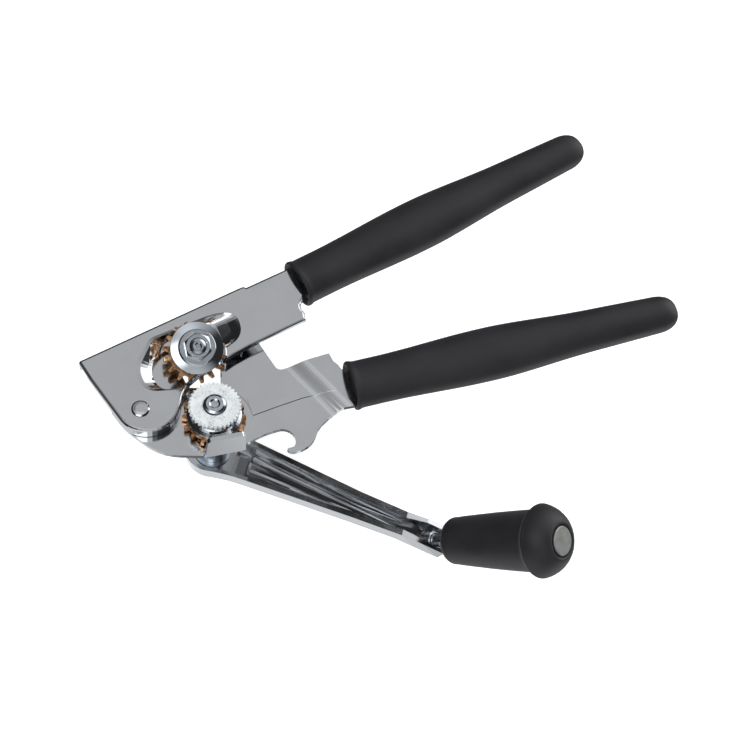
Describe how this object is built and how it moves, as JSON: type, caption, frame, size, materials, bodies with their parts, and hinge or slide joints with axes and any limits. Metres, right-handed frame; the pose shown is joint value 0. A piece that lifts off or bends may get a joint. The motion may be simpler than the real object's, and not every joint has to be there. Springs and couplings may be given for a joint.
{
  "type": "manual can opener",
  "caption": "Plier-style manual can opener with two gripped handles, a geared cutting wheel, a serrated feed wheel and a side crank with a turning knob.",
  "frame": {"origin": "middle of the drive shaft's front end face", "axes": "+X along the handles towards the ends of the grips, +Y across the plates from the lower handle to the upper one, +Z square to the plates, out of the side with the two wheels"},
  "size_m": [0.2625, 0.2116, 0.092],
  "materials": {
    "chrome": "polished, with light wear",
    "plated_steel": "bright zinc plated",
    "sintered_zinc": "matt sintered metal",
    "copper_plate": "thin copper plate",
    "black_grip": "soft matt"
  },
  "bodies": {
    "frame": {"lower_frame": "chrome", "lower_grip": "black_grip", "pivot_rivet": "plated_steel", "pivot_spacer": "plated_steel", "shaft_bushing": "plated_steel"},
    "upper_handle": {"upper_frame": "chrome", "upper_grip": "black_grip", "cutter_stud": "plated_steel", "cutter_nut": "chrome", "cutter_spring_washer": "plated_steel"},
    "cutter": {"cutter_gear": "copper_plate", "cutter_hub": "plated_steel", "cutter_wheel": "chrome"},
    "crank": {"drive_shaft": "plated_steel", "feed_wheel": "sintered_zinc", "feed_spacer": "plated_steel", "feed_cup": "plated_steel", "feed_gear": "copper_plate", "thrust_washer": "plated_steel", "hub_washer": "plated_steel", "crank_arm": "chrome", "rear_washer": "plated_steel", "knob_pin": "plated_steel", "knob_collar": "plated_steel"},
    "knob": {"knob_grip": "black_grip"}
  },
  "joints": [
    {"name": "handle_pivot", "type": "hinge", "parent": "frame", "child": "upper_handle", "pos_m": [-0.0306, 0.0024, -0.0141], "axis": [0, 0, 1], "range_deg": [-10, 3]},
    {"name": "crank_spin", "type": "hinge", "parent": "frame", "child": "crank", "pos_m": [0, 0, -0.0141], "axis": [0, 0, 1], "continuous": true},
    {"name": "cutter_spin", "type": "hinge", "parent": "upper_handle", "child": "cutter", "pos_m": [-0.00823, 0.02906, -0.0078], "axis": [0.0824, -0.3654, 0.9272], "continuous": true},
    {"name": "knob_spin", "type": "hinge", "parent": "crank", "child": "knob", "pos_m": [0.09739, -0.02896, -0.07456], "axis": [0.6735, -0.3141, 0.6691], "continuous": true}
  ],
  "couplings": [
    {"joint": "cutter_spin", "follows": "crank_spin", "ratio": -1}
  ]
}
